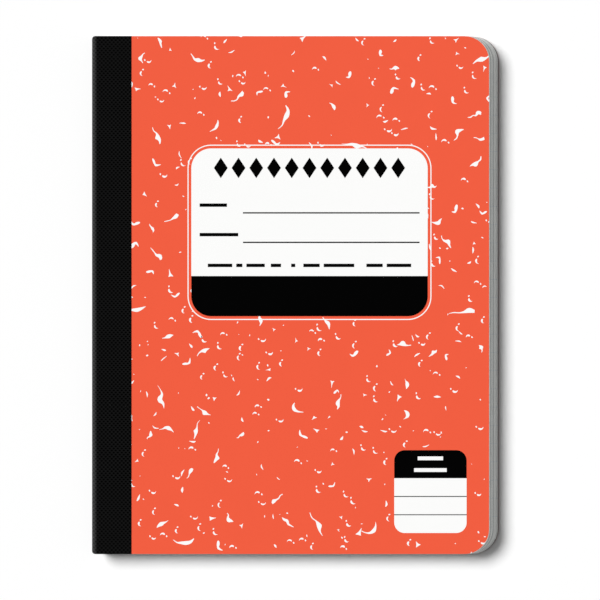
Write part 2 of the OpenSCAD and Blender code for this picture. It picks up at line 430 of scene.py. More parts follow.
@dataclass(frozen=True)
class SpineCloth(Finish):
    """Black book cloth with a staggered woven dot and a paler fold, wear with a painted highlight, its sizes
    in millimetres.
    """

    ground: Colour = ink(21, 21, 21)
    pitch_across: float = 1.915
    pitch_along: float = 1.981
    threads: int = 4
    stretch: float = 0.25
    dot_edge: Point = (-0.3, 0.5)
    dot_depth: float = 0.35
    thread_height: float = 0.15
    nap_height: float = 0.15
    sheen: float = 0.006
    sheen_spread: float = 0.4
    lint: Colour = ink(200, 200, 200)
    lint_share: float = 0.03
    # Colour and limits in millimetres of the paler band round the fold: wear with a painted highlight of the
    # rounded edge.
    fold_wear_and_highlight: Colour = ink(70, 70, 70)
    fold: tuple[float, float, float, float] = (3.2, 4.0, 5.4, 7.6)

    def lay(self, fibres: Fibres) -> tuple[Socket, Socket]:
        """Lay the cloth's dots, threads, paler fold and lint; the fold's paleness is wear with a painted
        highlight.

        Args:
            fibres: The fibres under the finish.

        Returns:
            The colour and the height.
        """
        bench = fibres.bench
        parts = bench.parts(fibres.place)
        turn_x = bench.sum("MULTIPLY", parts[0], math.tau / (self.pitch_across * MM))
        turn_y = bench.sum("MULTIPLY", parts[1], math.tau / (self.pitch_along * MM))
        dots = bench.sum("MULTIPLY", bench.sum("COSINE", turn_x), bench.sum("COSINE", turn_y))
        rows = bench.sum("COSINE", bench.sum("MULTIPLY", turn_y, 2.0))
        dots = bench.sum("MULTIPLY_ADD", rows, self.stretch, dots)
        warp = bench.sum("COSINE", bench.sum("MULTIPLY", turn_x, float(self.threads)))
        weft = bench.sum("COSINE", bench.sum("MULTIPLY", turn_y, float(self.threads)))
        threads = bench.sum("MULTIPLY", warp, weft)
        hole = bench.ramp(dots, *self.dot_edge)
        sockets = {"Place": fibres.place, "Spacing mm": 2.6, "Size": 0.06, "Share": 0.25}
        lint = bench.group(Effect.SPECKS, sockets).outputs["Mask"]
        cloth = fibres.toned(bench.blend(hole, self.ground, self.colour))
        # Painted highlight with wear: a paler band across the rounded fold.
        rise, full, fall, end = (limit * MM for limit in self.fold)
        wear_and_highlight_mask = bench.sum("MULTIPLY", bench.ramp(parts[0], rise, full), bench.ramp(parts[0], end, fall))
        wear_and_highlight_mask = bench.sum("MULTIPLY", wear_and_highlight_mask, bench.spread(fibres.height, 0.6, 1.0, 0.25, 0.6))
        cloth = bench.blend(bench.sum("MULTIPLY", wear_and_highlight_mask, bench.spread(hole, 1.0, 0.45)), cloth, self.fold_wear_and_highlight)
        cloth = bench.blend(bench.sum("MULTIPLY", lint, self.lint_share), cloth, self.lint)
        raised = bench.sum("MULTIPLY_ADD", dots, -self.dot_depth, 0.5)
        raised = bench.sum("MULTIPLY_ADD", threads, self.thread_height, raised)
        return cloth, bench.sum("MULTIPLY_ADD", fibres.height, self.nap_height, raised)

    def season(self, shader: bpy.types.Node) -> None:
        """Give the cloth its nap."""
        shader.inputs["Sheen Weight"].default_value = self.sheen
        shader.inputs["Sheen Roughness"].default_value = self.sheen_spread


@dataclass(frozen=True)
class RuledPaper(Finish):
    """White writing paper with pale blue lines and a red margin line, ruled in millimetres."""

    left: float = 0.0
    right: float = 0.0
    head: float = 0.0
    pitch: float = 8.73
    head_space: float = 29.0
    spaces: float = 23.5
    margin_at: float = 31.75
    rule_half: float = 0.14
    margin_half: float = 0.16
    strength: float = 0.85
    line: Colour = ink(150, 180, 214)
    margin: Colour = ink(224, 120, 128)

    def lay(self, fibres: Fibres) -> tuple[Socket, Socket]:
        """Lay the paper with its ruling on both sides, the margin line always beside the fold.

        Args:
            fibres: The fibres under the finish.

        Returns:
            The colour and the height.
        """
        bench = fibres.bench
        parts = bench.parts(fibres.place)
        first = self.head - self.head_space * MM
        last = first - self.spaces * self.pitch * MM
        below = bench.sum("SUBTRACT", parts[1], first)
        off = bench.sum("PINGPONG", below, self.pitch * MM / 2)
        rule = bench.sum("LESS_THAN", off, self.rule_half * MM)
        rule = bench.sum("MULTIPLY", rule, bench.sum("LESS_THAN", parts[1], first + MM))
        rule = bench.sum("MULTIPLY", rule, bench.sum("GREATER_THAN", parts[1], last))
        normal = bench.put("TexCoord").outputs["Normal"]
        facing = bench.sum("GREATER_THAN", bench.parts(normal)[2], 0.0)
        edge = bench.spread(facing, self.right - self.margin_at * MM, self.left + self.margin_at * MM)
        away = bench.sum("ABSOLUTE", bench.sum("SUBTRACT", parts[0], edge))
        side = bench.sum("LESS_THAN", away, self.margin_half * MM)
        page = fibres.toned(self.colour)
        page = bench.blend(bench.sum("MULTIPLY", rule, self.strength), page, self.line)
        return bench.blend(bench.sum("MULTIPLY", side, self.strength), page, self.margin), fibres.height


@dataclass(frozen=True)
class LeafEdges(Finish):
    """The cut edges of a hundred leaves: random bands of darker leaves whose grey is partly painted shade
    between the leaves, with painted light that pales the lower leaves.
    """

    shade: Colour = ink(127, 130, 132)
    band: float = 1.25
    leaf: float = 0.084
    leaf_share: float = 0.25
    # Heights over which painted light pales the lower leaves, against the shade near the table.
    painted_light_from: float = 0.5
    painted_light_to: float = 6.0

    def lay(self, fibres: Fibres) -> tuple[Socket, Socket]:
        """Lay the bands and single leaves of the stack.

        Args:
            fibres: The fibres under the finish.

        Returns:
            The colour and the height.
        """
        bench = fibres.bench
        level = bench.parts(fibres.place)[2]
        # Bands and single leaves: random tone, partly painted shade between the leaves.
        bands = bench.layers(level, self.band, 1.0)
        leaves = bench.layers(level, self.leaf, 0.0)
        share = bench.spread(bands, 0.0, 0.6, 0.36, 0.6)
        share = bench.sum("MULTIPLY_ADD", leaves, self.leaf_share, share)
        # Painted light: the darkening falls away towards the bottom of the stack.
        rise = bench.spread(level, 0.1, 1.0, self.painted_light_from * MM, self.painted_light_to * MM)
        share = bench.sum("MULTIPLY", share, rise)
        return bench.blend(share, fibres.toned(self.colour), self.shade), fibres.height


@dataclass(frozen=True)
class TwistedThread(Finish):
    """White sewing thread with its ply lying aslant."""

    painted_groove_shade: Colour = ink(168, 164, 156)
    groove_share: float = 0.35

    def lay(self, fibres: Fibres) -> tuple[Socket, Socket]:
        """Lay the thread's plies with the grooves between them darkened as painted shade.

        Args:
            fibres: The fibres under the finish.

        Returns:
            The colour and the height.
        """
        bench = fibres.bench
        sockets = {"Vector": fibres.place, "Scale": 0.5 / MM, "Distortion": 0.6}
        plies = bench.put("TexWave", sockets, bands_direction="DIAGONAL").outputs["Fac"]
        # Painted shade: the grooves between the plies are darker.
        deep = bench.spread(plies, self.groove_share, 0.0)
        return bench.blend(deep, fibres.toned(self.colour), self.painted_groove_shade), plies


@dataclass(frozen=True)
class Palette:
    """The finishes: name, colour, roughness, gloss, size of fibre, depth of tone, relief and mapping."""

    cover: Finish = Finish(
        "orange_cover_print", ink(241, 91, 60), 0.5, 0.06, 0.5, 0.03, 0.006, Mapping.UNROLLED
    )
    lining: Finish = Finish(
        "white_cover_lining", ink(240, 239, 234), 0.75, 0.2, 0.5, 0.04, 0.012, Mapping.UNROLLED
    )
    # The front board's pulp is lighter than the back board's: painted highlight on its cut edge. Its eased
    # edge is wear made paler still as painted highlight.
    pulp: Finish = PulpEdge(
        "board_pulp", ink(240, 238, 232), 0.9, 0.1, 0.15, 0.2, 0.03, Mapping.UNROLLED
    )
    edge_wear_and_highlight: Finish = Finish(
        "cover_edge_wear_and_highlight", ink(236, 216, 208), 0.8, 0.1, 0.2, 0.12, 0.01, Mapping.UNROLLED
    )
    # Darker copies of the pulp and eased edge for the back board, which lies on the table: painted shade.
    painted_shade_pulp: Finish = PulpEdge(
        "board_pulp_painted_shade", ink(116, 116, 114), 0.9, 0.1, 0.15, 0.2, 0.03, Mapping.UNROLLED
    )
    painted_shade_edge: Finish = Finish(
        "cover_edge_painted_shade", ink(96, 88, 85), 0.8, 0.1, 0.2, 0.12, 0.01, Mapping.UNROLLED
    )
    cloth: Finish = SpineCloth(
        "black_spine_cloth", ink(0, 0, 0), 0.85, 0.004, 0.25, 0.3, 0.05, Mapping.UNROLLED
    )
    frayed: Finish = Finish(
        "cut_cloth_edge", ink(26, 26, 27), 0.9, 0.1, 0.12, 0.5, 0.04, Mapping.UNROLLED
    )
    white_print: Finish = Finish("white_cover_ink", ink(252, 252, 251), 0.55, 0.06, 0.45, 0.012, 0.005)
    black_print: Finish = Finish("black_cover_ink", ink(1, 1, 1), 0.65, 0.006, 0.45, 0.3, 0.005)
    line_print: Finish = Finish("writing_line_ink", ink(22, 22, 22), 0.6, 0.03, 0.3, 0.2, 0.005)
    rule_print: Finish = Finish("tag_rule_ink", ink(68, 68, 68), 0.6, 0.05, 0.3, 0.12, 0.005)
    thread: Finish = TwistedThread("white_sewing_thread", ink(232, 228, 218), 0.8, 0.2, 0.1, 0.15, 0.06)
    leaf_edges: Finish = LeafEdges("cut_leaf_edges", ink(244, 246, 243), 0.9, 0.1, 0.2, 0.1, 0.01)

    def paper(self, left: float, right: float, head: float) -> Finish:
        """Give the ruled paper, whose lines start from the leaves' own edges."""
        return RuledPaper("ruled_leaf_paper", ink(243, 243, 240), 0.8, 0.2, 0.35, 0.03, 0.012,
                          left=left, right=right, head=head)


# Shapes


@dataclass(frozen=True)
class Outline:
    """The notebook seen from above, with its round fore corners and slightly eased heels."""

    left: float
    right: float
    half: float
    corner: float = 12.0 * MM
    heel: float = 2.5 * MM
    steps: int = 12

    def rows(self) -> list[float]:
        """Give the places along the spine where a section stands, close together round the corners.

        Returns:
            The places, from the foot to the head.
        """
        start = self.half - self.corner
        angles = [math.pi / 2 * step / self.steps for step in range(self.steps + 1)]
        upper = [start + self.corner * math.sin(angle) for angle in angles]
        return [-y for y in reversed(upper)] + upper

    def place(self, x: float, y: float) -> Point:
        """Pull a point of a square sheet in to the outline.

        Args:
            x: Place across the cover.
            y: Place along the spine.

        Returns:
            The point on the rounded sheet.
        """
        over = abs(y) - (self.half - self.corner)
        start = self.right - 2 * self.corner
        if over > 0 and x > start:
            limit = self.right - self.corner + math.sqrt(max(self.corner**2 - over**2, 0.0))
            x = start + (x - start) * (limit - start) / (self.right - start)
        if x < self.left + self.heel:
            back = self.heel - (x - self.left)
            y *= (self.half - self.heel + math.sqrt(max(self.heel**2 - back**2, 0.0))) / self.half
        return x, y

    def polygon(self) -> list[Point]:
        """Draw the outline as a convex polygon.

        Returns:
            Its corners, anticlockwise.
        """
        fore = [self.place(self.right, y) for y in self.rows()]
        return [(self.left, -self.half)] + fore + [(self.left, self.half)]


class Layer(Enum):
    """Which face of a sheet a polygon belongs to."""

    OUTER = 0
    INNER = 1
    CUT = 2


@dataclass
class SheetMaker:
    """Builds sheets that keep one section along the spine and follow the outline at its ends."""

    outline: Outline
    sharp: float = 35.0

    def add(self, bm: bmesh.types.BMesh, outer: list[Point], inner: list[Point]) -> None:
        """Add one sheet to a mesh.

        Args:
            bm: Mesh that receives the sheet.
            outer: Section of the outer face as x and z, from one end to the other.
            inner: Section of the inner face, point by point beside the outer one.
        """
        unrolled = bm.loops.layers.uv.verify()
        run = [0.0]
        for before, after in zip(outer, outer[1:]):
            run.append(run[-1] + math.dist(before, after))
        rows = self.outline.rows()
        rings = []
        for y in rows:
            ring = []
            for side in (outer, inner):
                spots = [(*self.outline.place(x, y), z) for x, z in side]
                ring.append([bm.verts.new(spot) for spot in spots])
            rings.append(ring)
        thick = math.dist(outer[0], inner[0])
        last = len(outer) - 1

        def face(corners: list[tuple[int, int, int]], layer: Layer) -> None:
            """Add one face with its unrolled place.

            Args:
                corners: Row, side and index of each corner.
                layer: Face of the sheet that it belongs to.
            """
            made = bm.faces.new([rings[row][side][index] for row, side, index in corners])
            made.material_index = layer.value
            made.smooth = True
            for loop, (row, side, index) in zip(made.loops, corners):
                shift = thick * side if layer is Layer.CUT else 0.0
                loop[unrolled].uv = (run[index] + shift, rows[row] + shift)

        for row in range(len(rows) - 1):
            for index in range(last):
                after = index + 1
                outside = [(row, 0, index), (row, 0, after), (row + 1, 0, after), (row + 1, 0, index)]
                inside = [(row, 1, index), (row + 1, 1, index), (row + 1, 1, after), (row, 1, after)]
                face(outside, Layer.OUTER)
                face(inside, Layer.INNER)
            face([(row, 0, last), (row, 1, last), (row + 1, 1, last), (row + 1, 0, last)], Layer.CUT)
            face([(row, 1, 0), (row, 0, 0), (row + 1, 0, 0), (row + 1, 1, 0)], Layer.CUT)
        for row in (0, len(rows) - 1):
            for index in range(last):
                after = index + 1
                face([(row, 0, index), (row, 1, index), (row, 1, after), (row, 0, after)], Layer.CUT)

    def finish(
        self, bm: bmesh.types.BMesh, name: str, finishes: list[Finish], seam: float | None
    ) -> bpy.types.Object:
        """Turn the mesh into an object, with its cut edges marked for easing.

        Args:
            bm: The mesh.
            name: Name of the piece.
            finishes: Finishes of the outer, inner and cut faces, and of the eased edges.
            seam: Height of a hidden joint whose edges stay sharp, or None.

        Returns:
            The piece.
        """
        bmesh.ops.recalc_face_normals(bm, faces=bm.faces)
        weight = bm.edges.layers.float.new("bevel_weight_edge")
        for edge in bm.edges:
            kinds = {face.material_index == Layer.CUT.value for face in edge.link_faces}
            at_seam = seam is not None and all(abs(vert.co.z - seam) < TOUCH for vert in edge.verts)
            edge[weight] = 1.0 if len(kinds) == 2 and not at_seam else 0.0
        mesh = settle(bm, name)
        for finish in finishes:
            mesh.materials.append(finish.build())
        mesh.set_sharp_from_angle(angle=math.radians(self.sharp))
        return stand(name, mesh)


# Sub-assemblies


class Side(Enum):
    """Which half of the folded cover a piece belongs to."""

    FRONT = "front"
    BACK = "back"


@dataclass
class FoldedCover:
    """The board that folds round the leaves, and the cloth glued over its spine."""

    palette: Palette
    outline: Outline
    top: float
    board: float
    tape: float
    tape_reach: float
    round_r: float = 2.0 * MM
    zone: float = 0.6 * MM
    zone_steps: int = 6
    turns: tuple[int, ...] = (0, 4, 8, 12, 16, 20, 30, 42, 54, 66, 78, 90)
    ease: float = 0.07 * MM

    def section(self, side: Side, inset: float, reach: float) -> list[Point]:
        """Run a section from the middle of the spine round the fold and out to an edge.

        Args:
            side: Half of the cover.
            inset: Depth under the outside of the cloth.
            reach: Where the section ends, across the cover.

        Returns:
            Points as x and z.
        """
        left = self.outline.left
        hinge = self.top - self.round_r
        points = [(left + inset, self.top / 2)]
        for step in range(self.zone_steps):
            points.append((left + inset, hinge + self.zone * (step / self.zone_steps - 1)))
        radius = self.round_r - inset
        for angle in self.turns:
            turn = math.radians(angle)
            x = left + self.round_r - radius * math.cos(turn)
            points.append((x, hinge + radius * math.sin(turn)))
        inner_stop = min(self.outline.right - 2 * self.outline.corner, reach)
        stops = [left + self.outline.heel, inner_stop] + ([reach] if reach > inner_stop else [])
        points += [(x, self.top - inset) for x in stops]
        if side is Side.BACK:
            points = [(x, self.top - z) for x, z in points]
        return points

    def leaf(
        self, name: str, side: Side, depths: Point, reach: float, finishes: list[Finish]
    ) -> bpy.types.Object:
        """Build one layer of the cover, bent round its fold.

        Args:
            name: Name of the piece.
            side: Half of the cover.
            depths: Depth of its outer and inner face under the outside of the cloth.
            reach: Where it ends, across the cover.
            finishes: Finishes of the outer, inner and cut faces, and of the eased edges.

        Returns:
            The piece.
        """
        maker = SheetMaker(self.outline)
        bm = bmesh.new()
        outer, inner = (self.section(side, depth, reach) for depth in depths)
        maker.add(bm, outer, inner)
        piece = maker.finish(bm, name, finishes, self.top / 2)
        easing = piece.modifiers.new("eased_edges", "BEVEL")
        easing.width = self.ease
        easing.segments = 2
        easing.limit_method = "WEIGHT"
        easing.material = len(finishes) - 1
        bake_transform(piece)
        return piece

    def build(self) -> list[bpy.types.Object]:
        """Build both boards and both halves of the cloth.

        Returns:
            The four pieces.
        """
        look = self.palette
        made = []
        for side in Side:
            # The front board takes the lightened pulp and edge as painted highlight, the back board the
            # darkened copies as painted shade.
            edges = [look.pulp, look.edge_wear_and_highlight] if side is Side.FRONT else [look.painted_shade_pulp, look.painted_shade_edge]
            finishes = [look.cover, look.lining, *edges]
            depths = (self.tape, self.tape + self.board)
            board = self.leaf(f"{side.value}_board", side, depths, self.outline.right, finishes)
            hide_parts(f"{side.value}_cover", "spine_board")
            finishes = [look.cloth, look.cloth, look.frayed, look.frayed]
            cloth = self.leaf(f"{side.value}_spine_cloth", side, (0.0, self.tape), self.tape_reach, finishes)
            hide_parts(f"spine_tape_{side.value}", "spine_tape_middle")
            made += [board, cloth]
        return made


@dataclass
class SewnLeaves:
    """Fifty sheets folded inside one another, whose fore edges stand back in slow waves, in millimetres."""

    palette: Palette
    outline: Outline
    low: float
    high: float
    spine: float
    sheets: int = 50
    paper_share: float = 0.86
    fold_r: float = 1.5 * MM
    least_r: float = 0.6 * MM
    bend_share: float = 0.96
    fold_steps: int = 6
    set_back: float = 0.02
    swell_back: float = 0.03
    stray_back: float = 0.02
    seed: int = 7

    def sheet_section(self, number: int, inset: float, back: float) -> list[Point]:
        """Run a sheet's section from the upper fore edge round the fold to the lower one.

        Args:
            number: Number of the sheet, counted inwards.
            inset: Depth under the sheet's outer face.
            back: How far the sheet's fore edge stands back.

        Returns:
            Points as x and z.
        """
        pitch = (self.high - self.low) / (2 * self.sheets)
        depth = number * pitch + inset
        room = (self.high - self.low) / 2 - number * pitch
        bend = min(max(self.fold_r - number * pitch, self.least_r), self.bend_share * room)
        radius = bend - inset
        x_fold = self.spine + depth
        inner_stop = self.outline.right - 2 * self.outline.corner
        upper = self.high - depth
        lower = self.low + depth
        turns = [math.radians(90 / self.fold_steps * step) for step in range(self.fold_steps + 1)]
        points = [(self.outline.right - back, upper), (inner_stop, upper)]
        for turn in turns:
            points.append((x_fold + radius * (1 - math.sin(turn)), upper - radius * (1 - math.cos(turn))))
        for turn in turns:
            points.append((x_fold + radius * (1 - math.cos(turn)), lower + radius * (1 - math.sin(turn))))
        points += [(inner_stop, lower), (self.outline.right - back, lower)]
        return points

    def build(self) -> bpy.types.Object:
        """Build the leaves as one piece.

        Returns:
            The piece.
        """
        chance = random.Random(self.seed)
        pitch = (self.high - self.low) / (2 * self.sheets)
        paper = pitch * self.paper_share
        bm = bmesh.new()
        maker = SheetMaker(self.outline)
        for number in range(self.sheets):
            swell = 0.5 + 0.5 * math.sin(number * 0.9) * math.cos(number * 0.37)
            back = (self.set_back + self.swell_back * swell + self.stray_back * chance.random()) * MM
            outer = self.sheet_section(number, 0.0, back)
            inner = self.sheet_section(number, paper, back)
            maker.add(bm, outer, inner)
        outline = self.outline
        sheet = self.palette.paper(outline.left, outline.right, outline.half)
        piece = maker.finish(bm, "leaf_sheets", [sheet, sheet, self.palette.leaf_edges], None)
        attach(piece, "sewn_leaves")
        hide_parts("page_block")
        return piece


class Fleck(Enum):
    """Kinds of white mark in the marbling, each with its share of all marks and its reach in millimetres."""

    CURL = ("curl", 0.34, 1.7)
    SPECK = ("speck", 0.23, 0.6)
    SLIVER = ("sliver", 0.16, 1.5)
    WEDGE = ("wedge", 0.09, 1.4)
    RUNNER = ("runner", 0.085, 3.6)
    HOOK = ("hook", 0.065, 3.0)
    STREAK = ("streak", 0.026, 6.2)

    @property
    def share(self) -> float:
        """Share of all marks."""
        return self.value[1]

    @property
    def reach(self) -> float:
        """Usual distance from the mark's middle to its end."""
        return self.value[2]


@dataclass
class FleckDrawer:
    """Draws the marbling's flecks as closed outlines, in millimetres round the origin."""

    chance: random.Random
    headings: tuple[float, ...] = (0.0, 180.0, -90.0, -45.0)
    least: float = 0.02
    oval_steps: int = 9

    def ribbon(self, knots: list[tuple[float, float, float, float]], steps: int) -> list[Point]:
        """Draw a stroke whose two sides swell and taper on their own along a smooth line.

        Args:
            knots: Points as x, y, reach to the left and reach to the right.
            steps: Points drawn between two knots.

        Returns:
            The stroke's outline.
        """
        line = []
        padded = [knots[0]] + knots + [knots[-1]]
        for a, b, c, d in zip(padded, padded[1:], padded[2:], padded[3:]):
            for step in range(steps):
                t = step / steps
                line.append(tuple(
                    q + (r - p) * t / 2 + (p - 2.5 * q + 2 * r - s / 2) * t**2
                    + (3 * q - p - 3 * r + s) * t**3 / 2
                    for p, q, r, s in zip(a, b, c, d)
                ))
        line.append(knots[-1])
        left_side: list[Point] = []
        right_side: list[Point] = []
        for index, (x, y, left, right) in enumerate(line):
            before = line[max(index - 1, 0)]
            after = line[min(index + 1, len(line) - 1)]
            along = math.atan2(after[1] - before[1], after[0] - before[0])
            for side, out in ((left_side, max(left, self.least)), (right_side, -max(right, self.least))):
                side.append((x - out * math.sin(along), y + out * math.cos(along)))
        return right_side + left_side[::-1]

    def oval(self, x: float, y: float, long: float, wide: float, lean: float) -> list[Point]:
        """Draw a small leaning drop.

        Args:
            x: Its middle across.
            y: Its middle along.
            long: Reach to its ends.
            wide: Reach to its sides.
            lean: Turn of its long way, in radians.

        Returns:
            Its outline.
        """
        points = []
        for step in range(self.oval_steps):
            turn = math.tau * step / self.oval_steps
            across = wide * math.sin(turn) * (1 + 0.25 * math.cos(turn))
            along = long * math.cos(turn)
            points.append((x + along * math.cos(lean) - across * math.sin(lean),
                           y + along * math.sin(lean) + across * math.cos(lean)))
        return points

    def curl(self) -> list[list[Point]]:
        """Draw the commonest mark: a small smile with a drop before it.

        Returns:
            Two outlines.
        """
        wide = self.chance.uniform(0.34, 0.48)
        size = self.chance.uniform(0.85, 1.1)
        knots = []
        for turn, share in ((212, 0.4), (235, 0.9), (265, 1.0), (297, 0.7), (325, 0.35), (350, 0.1)):
            angle = math.radians(turn)
            x, y = 0.6 + 1.2 * size * math.cos(angle), 0.6 + 1.15 * size * math.sin(angle)
            knots.append((x, y, wide * share * 0.9, wide * share * 1.1))
        drop = self.oval(-1.4 * size, 0.6, 0.48, 0.33, math.radians(self.chance.uniform(95, 130)))
        return [self.ribbon(knots, 2), drop]

    def speck(self) -> list[list[Point]]:
        """Draw a speck, at times hardly more than a dot."""
        long = self.chance.uniform(0.25, 0.62)
        return [self.oval(0.0, 0.0, long, long * self.chance.uniform(0.35, 0.7), 0.0)]

    def sliver(self) -> list[list[Point]]:
        """Draw a lens-shaped sliver, at times flat on one side.

        Returns:
            One outline.
        """
        chance = self.chance
        long = chance.uniform(0.9, 1.8)
        wide = chance.uniform(0.3, 0.62)
        bend = chance.uniform(-0.3, 0.3)
        peak = chance.uniform(-0.3, 0.4) * long
        knots = [(-long, -bend, 0.06, 0.06), (peak, bend, wide, wide * chance.uniform(0.2, 1.0))]
        return [self.ribbon(knots + [(long, -bend * 0.6, 0.1, 0.1)], 5)]

    def rounded(self, corners: list[Point]) -> list[Point]:
        """Blunt a closed outline by cutting off each of its corners.

        Args:
            corners: The outline.

        Returns:
            An outline with two points for each corner.
        """
        return [
            (here[0] + (there[0] - here[0]) * share, here[1] + (there[1] - here[1]) * share)
            for here, there in zip(corners, corners[1:] + corners[:1]) for share in (0.25, 0.75)
        ]

    def wedge(self) -> list[list[Point]]:
        """Draw a three-cornered mark with hollow sides, at times with one corner drawn out to a tail.

        Returns:
            One outline.
        """
        chance = self.chance
        size = chance.uniform(1.0, 1.8)
        tail = chance.choice((1.0, 1.5, 2.1))
        hollow = chance.uniform(0.9, 1.9)
        steps = 4
        arms = []
        for number in range(3):
            angle = math.radians(120 * number + chance.uniform(-24, 24))
            reach = size * chance.uniform(0.7, 1.15) * (tail if number == 0 else 1.0)
            arms.append((reach * math.cos(angle), reach * math.sin(angle)))
        points = []
        for start, end in zip(arms, arms[1:] + arms[:1]):
            for step in range(steps):
                t = step / steps
                pull = 1 - hollow * t * (1 - t)
                points.append(tuple((here + (there - here) * t) * pull for here, there in zip(start, end)))
        return [self.rounded(points)]

    def runner(self) -> list[list[Point]]:
        """Draw a run of ink of a usual length."""
        return self.run_of_ink(self.chance.uniform(4.0, 8.0))

    def streak(self) -> list[list[Point]]:
        """Draw one of the few long runs of ink."""
        return self.run_of_ink(self.chance.uniform(9.0, 13.0))

    def run_of_ink(self, length: float) -> list[list[Point]]:
        """Draw a run of ink that is fat on one side in one place and ends in a thin tail.

        Args:
            length: Length along the run.

        Returns:
            One outline.
        """
        chance = self.chance
        parts = 5
        heading = chance.uniform(-0.3, 0.3)
        fat = chance.choice((1, 2, 2, 3))
        x, y = -length / 2, 0.0
        knots = []
        for number in range(parts + 1):
            reach = [chance.uniform(0.14, 0.34), chance.uniform(0.14, 0.34)]
            if number == fat:
                reach = [chance.uniform(1.0, 1.7) * (0.55 + length / 15), chance.uniform(0.2, 0.9)]
            elif abs(number - fat) == 1:
                reach = [chance.uniform(0.3, 0.95), chance.uniform(0.2, 0.55)]
            elif number in (0, parts):
                reach = [chance.uniform(0.04, 0.2)] * 2
            knots.append((x, y, *reach))
            x += length / parts * math.cos(heading)
            y += length / parts * math.sin(heading)
            heading += chance.uniform(-0.75, 0.6)
        return [self.ribbon(knots, 3)]

    def hook(self) -> list[list[Point]]:
        """Draw a tick: a slim arm that turns sharply up into a fat one.

        Returns:
            One outline.
        """
        chance = self.chance
        size = chance.uniform(0.75, 1.2)
        fat = chance.uniform(1.0, 1.8) * size
        slim = chance.uniform(0.55, 0.8) * size
        long = chance.uniform(2.6, 3.8) * size
        short = chance.uniform(1.7, 2.8) * size
        lean = math.radians(chance.uniform(38, 66))
        rise = math.radians(chance.uniform(138, 160))

        def spot(angle: float, along: float, out: float) -> Point:
            """Find a point beside an arm.

            Args:
                angle: Heading of the arm.
                along: Distance along it.
                out: Distance out to its lower side.

            Returns:
                The point.
            """
            side = angle + math.copysign(math.pi / 2, angle - math.pi / 2)
            x = along * math.cos(angle) + out * math.cos(side)
            return x, along * math.sin(angle) + out * math.sin(side)

        corners = [spot(rise, short, 0.0), spot(rise, 0.5 * short, 0.6 * slim), (-0.1 * slim, -0.7 * slim)]
        for along, out in ((0.14, 0.45), (0.6, 0.55), (1.0, 0.3), (0.95, -0.25), (0.5, -0.45), (0.2, -0.12)):
            corners.append(spot(lean, along * long, out * fat))
        corners.append(spot(rise, 0.4 * short, -0.3 * slim))
        return [self.rounded(corners)]

    def draw(self, kind: Fleck) -> list[list[Point]]:
        """Draw one mark, turned as the marbling turns it.

        Args:
            kind: Kind of mark.

        Returns:
            Its closed outlines.
        """
        shapes = getattr(self, kind.value[0])()
        turn = math.radians(self.chance.uniform(0, 360))
        if kind is Fleck.CURL:
            turn = math.radians(self.chance.choice(self.headings) + self.chance.uniform(-9, 9))
        flip = -1.0 if kind is not Fleck.CURL and self.chance.random() < 0.5 else 1.0
        cos, sin = math.cos(turn), math.sin(turn)
        return [[(x * cos - y * flip * sin, x * sin + y * flip * cos) for x, y in shape] for shape in shapes]


def clip(shape: list[Point], outline: list[Point]) -> list[Point]:
    """Cut a shape at a convex outline.

    Args:
        shape: The closed shape.
        outline: The outline, anticlockwise.

    Returns:
        What lies inside; it may be empty.
    """
    for start, end in zip(outline, outline[1:] + outline[:1]):
        side = (end[0] - start[0], end[1] - start[1])

        def inside(point: Point) -> float:
            """Tell how far a point lies inside this side of the outline."""
            return side[0] * (point[1] - start[1]) - side[1] * (point[0] - start[0])

        kept: list[Point] = []
        for here, after in zip(shape, shape[1:] + shape[:1]):
            d_here, d_after = inside(here), inside(after)
            if d_here >= 0:
                kept.append(here)
            if (d_here > 0) != (d_after > 0) and d_here != d_after:
                t = d_here / (d_here - d_after)
                kept.append((here[0] + (after[0] - here[0]) * t, here[1] + (after[1] - here[1]) * t))
        shape = kept
        if len(shape) < 3:
            return []
    return shape


def twice_area(ring: list[Point]) -> float:
    """Give twice the area of a closed outline, above 0 where it runs anticlockwise."""
    return sum(here[0] * there[1] - there[0] * here[1] for here, there in zip(ring, ring[1:] + ring[:1]))


